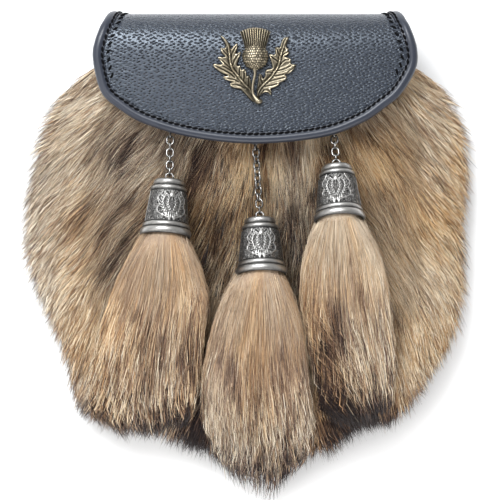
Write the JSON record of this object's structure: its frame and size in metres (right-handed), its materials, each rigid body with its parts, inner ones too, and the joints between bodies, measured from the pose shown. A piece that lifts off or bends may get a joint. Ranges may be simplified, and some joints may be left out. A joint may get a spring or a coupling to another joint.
{
  "type": "sporran pouch",
  "caption": "Fur-fronted leather belt pouch with a fold-over flap, a cast thistle badge on the flap and hair tassels in cast cones that hang from short chains.",
  "frame": {"origin": "on the belt loop's outer face, in the plane that the pouch rests on, on the pouch's middle line and 95 mm below the top of the fold", "axes": "+Y towards the fold at the top of the pouch, +X to the right as the flap is looked at, +Z out of the back through the front"},
  "size_m": [0.2149, 0.2309, 0.0706],
  "materials": {
    "grained_leather": "black pebbled grain, satin",
    "binding_leather": "black, smooth and rolled",
    "inner_leather": "black, plain",
    "fur": "long tan, cream and brown fur on its skin",
    "tassel_hair": "long cream and tan hair with dark tips",
    "antique_silver": "cast, darkened in the recesses",
    "antique_brass": "cast, darkened in the recesses",
    "chain_steel": "darkened wire",
    "stud_nickel": "plain nickel"
  },
  "bodies": {
    "root": {"back_and_flap": "grained_leather", "belt_loop": "inner_leather", "chain_anchor_centre": "chain_steel", "chain_anchor_left": "chain_steel", "chain_anchor_right": "chain_steel", "chain_centre_01": "chain_steel", "chain_centre_02": "chain_steel", "chain_centre_03": "chain_steel", "chain_centre_04": "chain_steel", "chain_centre_05": "chain_steel", "chain_centre_06": "chain_steel", "chain_centre_07": "chain_steel", "chain_centre_08": "chain_steel", "chain_centre_09": "chain_steel", "chain_centre_10": "chain_steel", "chain_centre_11": "chain_steel", "chain_centre_12": "chain_steel", "chain_left_01": "chain_steel", "chain_left_02": "chain_steel", "chain_left_03": "chain_steel", "chain_left_04": "chain_steel", "chain_left_05": "chain_steel", "chain_left_06": "chain_steel", "chain_left_07": "chain_steel", "chain_left_08": "chain_steel", "chain_right_01": "chain_steel", "chain_right_02": "chain_steel", "chain_right_03": "chain_steel", "chain_right_04": "chain_steel", "chain_right_05": "chain_steel", "chain_right_06": "chain_steel", "edge_binding": "binding_leather", "front_panel": "inner_leather", "fur_coat": "fur", "gusset": "inner_leather", "press_stud": "stud_nickel", "tassel_cone_centre": "antique_silver", "tassel_cone_left": "antique_silver", "tassel_cone_right": "antique_silver", "tassel_hair_centre": "tassel_hair", "tassel_hair_left": "tassel_hair", "tassel_hair_right": "tassel_hair", "thistle_badge": "antique_brass"}
  },
  "joints": []
}
